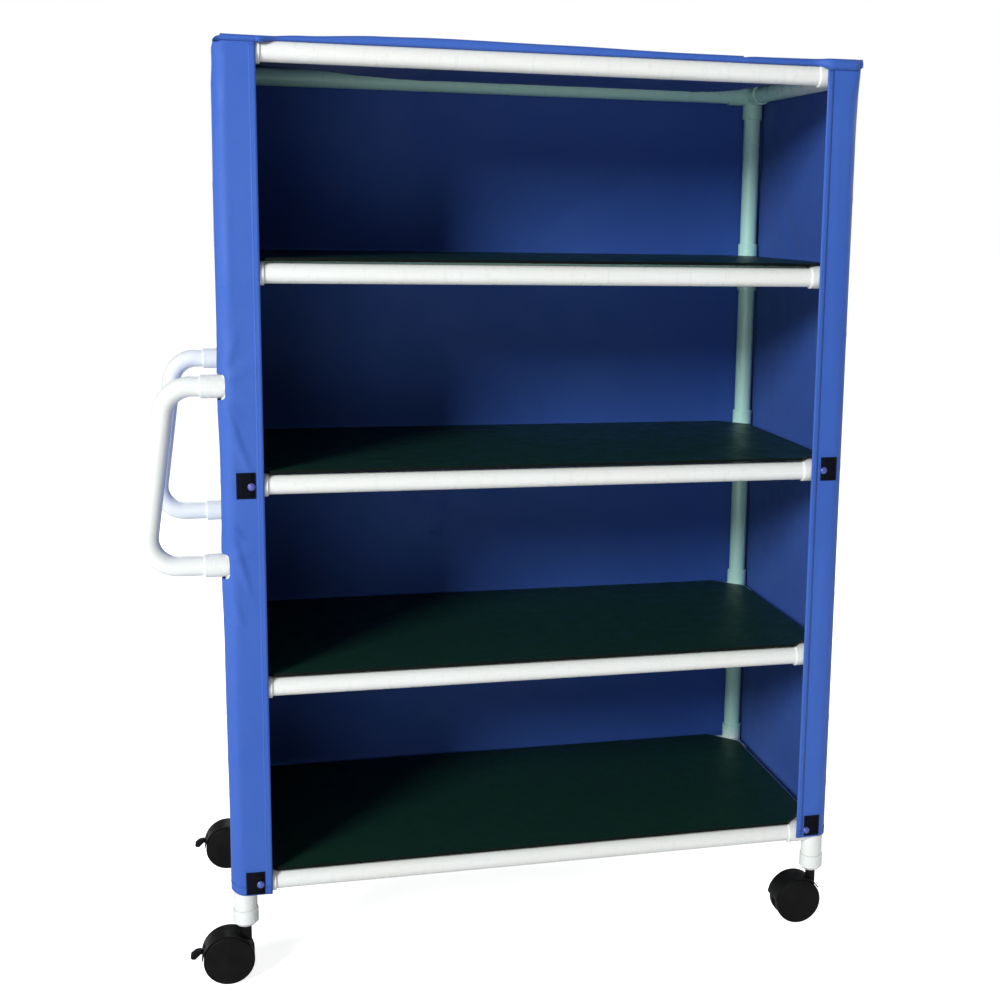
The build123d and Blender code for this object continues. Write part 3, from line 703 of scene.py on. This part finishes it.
def lid_point(x, y, down=0.0):
    """Point of the lid; down above 0 is on the edge that is turned down."""
    edge_x = 0.0014 * (x >= LID_RIGHT) * down
    if x <= LID_LEFT:
        drop = top_height(x, y) - LID_TURN * down - TOP_Z
        edge_x = LEFT_X - 0.0016 - math.sqrt(max(0.0, LID_END_RADIUS ** 2 - drop * drop)) - x
    at_front = y <= front_edge(x)
    edge_y = 0.0012 * ((y >= LID_BACK) - at_front) * down
    depth = 0.0016 + 0.0102 * over_strip(x) if at_front else LID_TURN
    depth += 0.004 * smooth(x, RIGHT_X - 0.03, RIGHT_X + 0.02)
    depth += 0.0012 * wander(8, x * 8.0, y * 8.0)
    edge_y -= 0.0016 * math.sin(math.pi * down) * at_front * over_strip(x)
    return Vector((x + edge_x, y + edge_y, top_height(x, y) - depth * down))


def build_lid():
    """The cover's top panel, with its edge turned down all round."""
    columns = [(LID_LEFT, 1.0), (LID_LEFT, 0.5)]
    columns += [(x, 0.0) for x in spaced(LID_LEFT, LID_RIGHT, LID_COLUMNS)]
    columns += [(LID_RIGHT, 0.5), (LID_RIGHT, 1.0)]
    depths = [(0.0, 1.0), (0.0, 0.5)]
    depths += [(share, 0.0) for share in spaced(0.0, 1.0, LID_ROWS)]
    depths += [(1.0, 0.5), (1.0, 1.0)]
    rows = []
    for share, down in depths:
        eased = share ** 1.35
        row = []
        for x, side_down in columns:
            y = front_edge(x) + (LID_BACK - front_edge(x)) * eased
            row.append(lid_point(x, y, max(down, side_down)))
        rows.append(row)
    return quad_sheet("cloth_cover_top", rows)


lid = finish_piece(build_lid(), "cover_fabric", "cover_top")

# --- the front curtain, thrown back over the top and hanging behind ---
CURTAIN_LEFT, CURTAIN_RIGHT = CURTAIN_LOW.x - 0.0065, CURTAIN_HIGH.x
CURTAIN_HEM = CURTAIN_LOW.z
CURTAIN_LIFT = 0.0026         # over the lid
BACK_FACE = REAR_Y + WALL_OFFSET


def fold_height(x):
    """Height of the curtain's front fold above the rail's axis, with a step down at FOLD_STEP."""
    if x > FOLD_STEP:
        rise = 0.0022 * smooth(x, FOLD_STEP, FOLD_STEP + 0.02)
        return 0.0316 + rise + 0.002 * smooth(x, FOLD_STEP, RIGHT_X)
    return through(x, FOLD)


def front_fold(x):
    """Cross-section of the front fold, from its lower edge up and over to the top."""
    strip = over_strip(x, 0.066, 0.100)
    second = smooth(x, FOLD_STEP - 0.001, FOLD_STEP + 0.001)
    foot = TOP_Z + 0.0196 - 0.0075 * strip + 0.0025 * (x < FOLD_STEP) * strip
    foot += 0.0007 * wander(10, x * 7.0)
    front = FRONT_Y - 0.0118 - 0.0190 * strip - 0.0012 * second
    height = TOP_Z + fold_height(x)
    points = [Vector((x, front + 0.0006, foot)),
              Vector((x, front - 0.0014, foot + (height - foot) * 0.42))]
    round_over = min(0.0062, (height - foot) * 0.5)
    for i in range(6):
        angle = math.radians(165 - 27 * i)
        points.append(Vector((x, front + 0.0085 + 0.0100 * math.cos(angle),
                              height - round_over + round_over * math.sin(angle))))
    end = FRONT_Y + 0.018
    points.append(Vector((x, end, top_height(x, end) + CURTAIN_LIFT + 0.0012)))
    return points


def hanging_folds(x, z):
    """How far the hanging curtain stands out behind the cover's back."""
    fall = 1 - smooth(z, CURTAIN_HEM - 0.1, TOP_Z + 0.05)
    phase = 2 * math.pi * (x / 0.215 + 0.45 * wander(11, x * 1.7)) + 0.9 * wander(12, z * 1.2, x)
    ripple = (0.5 + 0.5 * math.sin(phase)) ** 1.3
    uneven = 0.0016 * (1 + wander(13, x * 9.0, z * 3.0)) * fall
    return 0.0055 + 0.0125 * ripple * fall ** 0.7 + uneven


def behind(x, z, lift=0.0):
    """Point of the hanging curtain's outside; lift is further out."""
    free = 1 - smooth(z, CURTAIN_HEM, TOP_Z)
    sideways = 0.008 * wander(14, z * 2.1, x * 0.8) * free
    rise = 0.005 * wander(15, x * 3.0) * free
    return Vector((x + sideways, BACK_FACE + hanging_folds(x, z) + lift, z + rise))


def build_curtain():
    """The whole curtain, from its front fold to its hem behind."""
    columns = spaced(CURTAIN_LEFT, FOLD_STEP - 0.0015, 100)
    columns += spaced(FOLD_STEP + 0.0015, CURTAIN_RIGHT, 22)
    over = spaced(FRONT_Y + 0.03, REAR_Y + 0.012, 40)
    turn = [math.radians(angle) for angle in (75, 55, 35, 15)]
    down = spaced(TOP_Z + 0.006, CURTAIN_HEM, 88)
    lines = []
    for x in columns:
        line = front_fold(x)
        line += [Vector((x, y, top_height(x, y) + CURTAIN_LIFT)) for y in over]
        crest = top_height(x, over[-1]) + CURTAIN_LIFT
        radius = BACK_FACE + hanging_folds(x, down[0]) - over[-1]
        for angle in turn:
            height = down[0] + (crest - down[0]) * math.sin(angle)
            line.append(Vector((x, over[-1] + radius * math.cos(angle), height)))
        line += [behind(x, z) for z in down]
        lines.append(line)
    return quad_sheet("cloth_curtain", [list(row) for row in zip(*lines)])


curtain = finish_piece(build_curtain(), "cover_fabric", "curtain_over_top", "curtain_hanging_back")


# --- patches and press studs ---
def lathe(name, profile, centre, outward, made, steps=28):
    """Round piece from a profile of (radius, height) about an outward axis."""
    turn = Vector(outward).to_track_quat("Z", "Y").to_matrix()
    points, faces = [], []
    for radius, height in profile:
        for i in range(steps):
            angle = 2 * math.pi * i / steps
            around = Vector((radius * math.cos(angle), radius * math.sin(angle), height))
            points.append(Vector(centre) + turn @ around)
    for ring in range(len(profile) - 1):
        for i in range(steps):
            a, b = ring * steps + i, ring * steps + (i + 1) % steps
            faces.append((a, b, b + steps, a + steps))
    points.append(Vector(centre) + turn @ Vector((0, 0, profile[-1][1])))
    last = (len(profile) - 1) * steps
    faces += [(last + i, last + (i + 1) % steps, len(points) - 1) for i in range(steps)]
    faces.append(tuple(reversed(range(steps))))
    return mesh_object(name, points, faces, made)


def stud_profile(radius, height):
    """Flat flange, step and dome of a press stud."""
    dome = [(radius * 0.78 * math.cos(a), height * (0.45 + 0.55 * math.sin(a)))
            for a in (math.radians(d) for d in (0, 20, 40, 60, 78))]
    shoulder = [(radius, 0.0), (radius, height * 0.25),
                (radius * 0.95, height * 0.38), (radius * 0.84, height * 0.42)]
    return shoulder + dome


def joined(name, things):
    """Joins separate objects into one."""
    with bpy.context.temp_override(active_object=things[0], selected_editable_objects=things):
        bpy.ops.object.join()
    things[0].name = name
    things[0].data.name = name
    return things[0]


def wall_u(x):
    """u of a point on the front strips."""
    if x < (LEFT_X + RIGHT_X) / 2:
        return LEFT_X + STRIP_EDGE - x
    return U_END - (x - (RIGHT_X - STRIP_RIGHT_EDGE))


TAPE_LIFT = 0.0020            # outer face of the patches over the cover's
STUD_RADIUS = 0.0078
CAP_RADIUS = 0.007
# loop patches on the front strips: middle (x, z), size, and the stud's middle (x, z)
PATCHES = [
    ((LEFT_X + 0.0204, 1.0954), (0.0385, 0.054), (LEFT_X + 0.0313, 1.0930)),
    ((LEFT_X + 0.0215, 0.2275), (0.0390, 0.050), (LEFT_X + 0.0320, 0.2240)),
    ((RIGHT_X - 0.0113, 1.0985), (0.0370, 0.053), (RIGHT_X - 0.0228, 1.0950)),
    ((RIGHT_X - 0.0150, 0.2290), (0.0365, 0.050), (RIGHT_X - 0.0275, 0.2180)),
]


def build_patches():
    """Four pieces of loop tape, sewn on the front strips."""
    things = []
    for number, ((x, z), (width, height), _) in enumerate(PATCHES):
        u = sorted((wall_u(x - width / 2), wall_u(x + width / 2)))
        outline = rectangle((u[0], z - height / 2), (u[1], z + height / 2))
        things.append(sewn(f"patch_{number}", [(outline, TAPE_LIFT)], wall,
                           thickness=0.0014, made=TAPE, inside=None))
    return joined("strip_patches_cloth", things)


def build_studs():
    """Press studs on the patches."""
    things = []
    for number, (_, _, (x, z)) in enumerate(PATCHES):
        spot = wall(wall_u(x), z, 0.0018)
        profile = stud_profile(STUD_RADIUS, 0.0044)
        things.append(lathe(f"stud_{number}", profile, spot, (0, -1, 0), STUD))
    return joined("press_studs", things)


def build_curtain_caps():
    """Matching caps on the curtain, showing from behind."""
    things = []
    profile = stud_profile(CAP_RADIUS, 0.0036)
    for x in (CAPS_LOW.x + CAP_RADIUS, CAPS_HIGH.x - CAP_RADIUS):
        for z in (CAPS_LOW.z + CAP_RADIUS, CAPS_HIGH.z - CAP_RADIUS):
            spot = Vector((x, BACK_FACE + hanging_folds(x, z) + 0.0004, z))
            things.append(lathe(f"cap_{len(things)}", profile, spot, (0, 1, 0), STUD))
    return joined("curtain_caps", things)


finish_piece(build_patches(), "patch_fabric", "strip_patches")
finish_piece(build_studs(), "snap_plastic", "snap_studs")
finish_piece(build_curtain_caps(), "snap_plastic", "curtain_snap_caps")


# --- stitching ---
THREAD_HALF_WIDTH = 0.00042
THREAD_HEIGHT = 0.00045
STITCH_INSET = 0.003          # from the edge that a line of stitches follows


def stitch_run(place, start, end, spacing=0.0045, length=0.0031):
    """Stitches on a straight line of the flat cloth: middle, direction and outward direction."""
    start, end = Vector(start), Vector(end)
    count = max(1, int((end - start).length / spacing))
    along = (end - start) / count
    found = []
    for i in range(count):
        middle = start + along * (i + 0.5)
        step = along.normalized() * length / 2
        side = Vector((-step.y, step.x))
        a, b = place(*(middle - step)), place(*(middle + step))
        c, d = place(*(middle - side)), place(*(middle + side))
        direction = b - a
        outward = direction.cross(d - c).normalized()
        found.append((place(*middle), direction, outward))
    return found


def stitches(name, runs, outside, made):
    """Thread: each stitch is a small bead; outside gives the outward direction at a point."""
    points, faces = [], []
    for middle, direction, outward in (stitch for run in runs for stitch in run):
        if outward.dot(outside(middle)) < 0:
            outward = -outward
        across = direction.cross(outward).normalized() * THREAD_HALF_WIDTH
        up = outward * THREAD_HEIGHT
        start = len(points)
        for share, size in ((-0.5, 0.25), (-0.25, 1.0), (0.25, 1.0), (0.5, 0.25)):
            centre = middle + direction * share
            points += [centre - across * size, centre + up * size, centre + across * size]
        for ring in range(3):
            a = start + ring * 3
            faces += [(a, a + 1, a + 4, a + 3), (a + 1, a + 2, a + 5, a + 4),
                      (a + 2, a, a + 3, a + 5)]
        faces += [(start, start + 2, start + 1), (start + 9, start + 10, start + 11)]
    return mesh_object(name, points, faces, made)


def off_wall(u, z):
    return wall(u, z, HEM_LIFT + 0.0002)


def near_wall(u, z):
    return wall(u, z, 0.0002)


def on_patch(u, z):
    return wall(u, z, 0.0021)


def on_curtain(x, z):
    return behind(x, z, 0.0001)


def from_middle(point):
    """Level direction to a point from the rectangle between the four legs."""
    inner_x = min(RIGHT_X, max(LEFT_X, point.x))
    inner_y = min(REAR_Y, max(FRONT_Y, point.y))
    return Vector((point.x - inner_x, point.y - inner_y, 0))


HEM_STITCH = HEM_Z + BOTTOM_HEM - STITCH_INSET
wall_runs = [stitch_run(off_wall, (STITCH_INSET, HEM_STITCH), (U_END - STITCH_INSET, HEM_STITCH))]
for edge in (HEM_WIDTH - STITCH_INSET, U_END - HEM_WIDTH + STITCH_INSET):
    wall_runs.append(stitch_run(off_wall, (edge, HEM_Z + 0.004), (edge, WALL_TOP - 0.014)))
# the seams at the left corners are broken at the handle collars
gaps = [height + side * 0.045 for height in HANDLE_HEIGHTS for side in (-1, 1)]
clear = [HEM_Z + 0.024] + gaps + [WALL_TOP - 0.012]
for seam in (U_LEFT + 0.005, U_REAR_LEFT + 0.036, U_RIGHT + 0.005, U_FRONT_RIGHT - 0.005):
    spans = zip(clear[::2], clear[1::2]) if seam < U_BACK else [(clear[0], clear[-1])]
    wall_runs += [stitch_run(near_wall, (seam, low), (seam, high)) for low, high in spans]
patch_runs = []
for (x, z), (width, height), _ in PATCHES:
    u = sorted((wall_u(x - width / 2 + 0.002), wall_u(x + width / 2 - 0.002)))
    low, high = z - height / 2 + 0.002, z + height / 2 - 0.002
    corners = rectangle((u[0], low), (u[1], high))
    patch_runs += [stitch_run(on_patch, a, b, 0.0032, 0.0022)
                   for a, b in zip(corners, corners[1:] + corners[:1])]
curtain_stitch = CURTAIN_HEM + 0.016
curtain_runs = [stitch_run(on_curtain, (CURTAIN_LEFT + 0.004, curtain_stitch),
                           (CURTAIN_RIGHT - 0.004, curtain_stitch))]
for edge in (CURTAIN_LEFT + 0.011, CURTAIN_RIGHT - 0.011):
    curtain_runs.append(stitch_run(on_curtain, (edge, CURTAIN_HEM + 0.02), (edge, TOP_Z - 0.01)))
finish_piece(stitches("stitching", wall_runs + curtain_runs, from_middle, THREAD), "cover_fabric")
finish_piece(stitches("patch_stitching", patch_runs, from_middle, DARK_THREAD), "patch_fabric")


# --- stage, light and camera ---
def build_stage():
    """Plain pale floor, with a glow that only the camera sees."""
    mesh = bpy.data.meshes.new("floor")
    reach = 60.0
    corners = [(-reach, -reach, 0), (reach, -reach, 0), (reach, reach, 0), (-reach, reach, 0)]
    mesh.from_pydata(corners, [], [(0, 1, 2, 3)])
    made, shader = material("floor_pale", (0.95, 0.95, 0.95), 0.9, Specular_IOR_Level=0.1,
                            Emission_Color=(1, 1, 1, 1))
    distance = add_node(made, "ShaderNodeVectorMath", {0: place_of(made)}, operation="LENGTH")
    glow = spread(made, distance.outputs["Value"], 0.82, 1.0, (0.5, 2.4))
    seen = add_node(made, "ShaderNodeLightPath").outputs["Is Camera Ray"]
    wire(made, arithmetic(made, "MULTIPLY", glow, seen), shader, "Emission Strength")
    mesh.materials.append(made)
    floor = bpy.data.objects.new("floor", mesh)
    bpy.context.scene.collection.objects.link(floor)


def area_light(name, place, aim, size, power):
    """Square soft white light."""
    light = bpy.data.lights.new(name, "AREA")
    light.size = size
    light.energy = power
    thing = bpy.data.objects.new(name, light)
    thing.location = place
    thing.rotation_euler = (Vector(aim) - Vector(place)).to_track_quat("-Z", "Y").to_euler()
    bpy.context.scene.collection.objects.link(thing)


def build_light():
    """Soft studio light, mostly from the front left, and a white surround."""
    world = bpy.data.worlds.new("studio")
    bpy.context.scene.world = world
    world.use_nodes = True
    surround = world.node_tree.nodes["Background"]
    surround.inputs["Color"].default_value = (1, 1, 1, 1)
    seen = add_node(world, "ShaderNodeLightPath").outputs["Is Camera Ray"]
    wire(world, spread(world, seen, 0.13, 1.0, (0.0, 1.0)), surround, "Strength")
    area_light("key", (-6.5, -6.7, 4.7), (0.1, 0.0, 0.9), 2.4, 860.0)
    area_light("side", (5.2, 0.8, 3.0), (0.3, 0.0, 1.0), 2.4, 110.0)
    area_light("fill", (-2.4, -6.8, 0.7), (0.2, 0.0, 0.9), 2.4, 50.0)
    area_light("rear", (0.5, 4.5, 3.8), (0.0, 0.0, 1.2), 3.0, 95.0)


def build_camera():
    """Camera at the height of a standing person's eyes, in front of the trolley's left half."""
    camera = bpy.data.cameras.new("camera")
    camera.lens = 53.07
    camera.sensor_width = 36.0
    camera.shift_x = -0.110
    camera.shift_y = -0.034
    thing = bpy.data.objects.new("camera", camera)
    turn, tilt, roll = math.radians(-14.751), math.radians(9.706), math.radians(1.094)
    back = Vector((math.sin(turn) * math.cos(tilt), -math.cos(turn) * math.cos(tilt),
                   math.sin(tilt)))
    side = (-back).cross(Vector((0, 0, 1))).normalized()
    up = side.cross(-back)
    side, up = (math.cos(roll) * side + math.sin(roll) * up,
                -math.sin(roll) * side + math.cos(roll) * up)
    place = Matrix.Translation((-0.5866, -3.3775, 1.6581))
    thing.matrix_world = place @ Matrix((side, up, back)).transposed().to_4x4()
    bpy.context.scene.collection.objects.link(thing)
    bpy.context.scene.camera = thing


build_stage()
build_light()
build_camera()
bpy.context.scene.view_settings.view_transform = "Standard"
